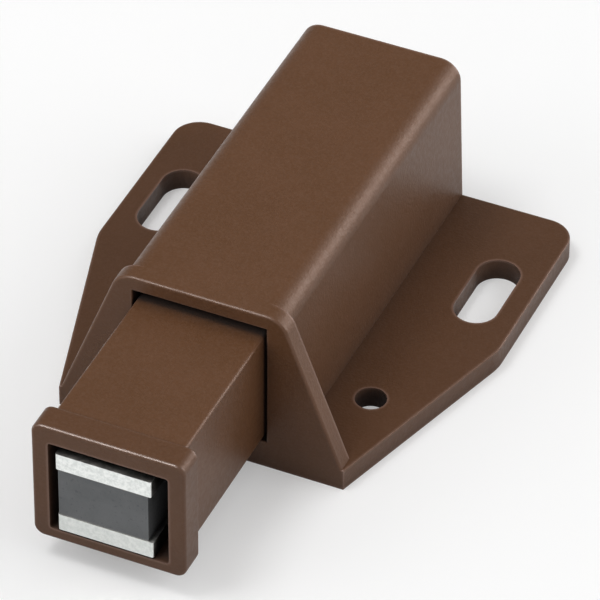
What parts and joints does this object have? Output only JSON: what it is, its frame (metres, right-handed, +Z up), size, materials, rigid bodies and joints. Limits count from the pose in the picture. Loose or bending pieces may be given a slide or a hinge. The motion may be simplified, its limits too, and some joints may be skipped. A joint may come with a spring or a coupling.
{
  "type": "magnetic push catch",
  "caption": "Push-to-release magnetic catch: a sprung plunger with a magnet in its head slides in a flanged plastic housing and latches when pushed.",
  "frame": {"origin": "on the mounting face, midway between the two fixing slots", "axes": "+X across the housing to the right seen from the front, +Y along the slide towards the back, +Z up from the mounting face"},
  "size_m": [0.048, 0.07, 0.0208],
  "materials": {
    "brown_plastic": "moulded dark brown plastic with a fine satin spark-eroded texture",
    "ferrite": "dark grey sintered ferrite, matte",
    "pole_steel": "bright zinc-plated mild steel, finely ground",
    "spring_steel": "drawn spring steel"
  },
  "bodies": {
    "housing": {"housing": "brown_plastic", "base_cover": "brown_plastic", "return_spring": "spring_steel", "leaf_spring": "spring_steel"},
    "plunger": {"plunger": "brown_plastic", "magnet": "ferrite", "upper_pole_plate": "pole_steel", "lower_pole_plate": "pole_steel"},
    "latch_wire": {"latch_wire": "spring_steel"}
  },
  "joints": [
    {"name": "plunger_push", "type": "slide", "parent": "housing", "child": "plunger", "axis": [0, 1, 0], "range_m": [0, 0.015], "stiffness_N_per_m": 580, "springref_m": -0.008, "deforming": ["return_spring"]},
    {"name": "latch_wire_swing", "type": "hinge", "parent": "housing", "child": "latch_wire", "pos_m": [0, 0.0091, 0.001], "axis": [0, 0, 1], "range_deg": [-9.6, 9.6]}
  ],
  "couplings": [
    {"joint": "latch_wire_swing", "follows": "plunger_push", "rad_per_m": 11.054}
  ]
}
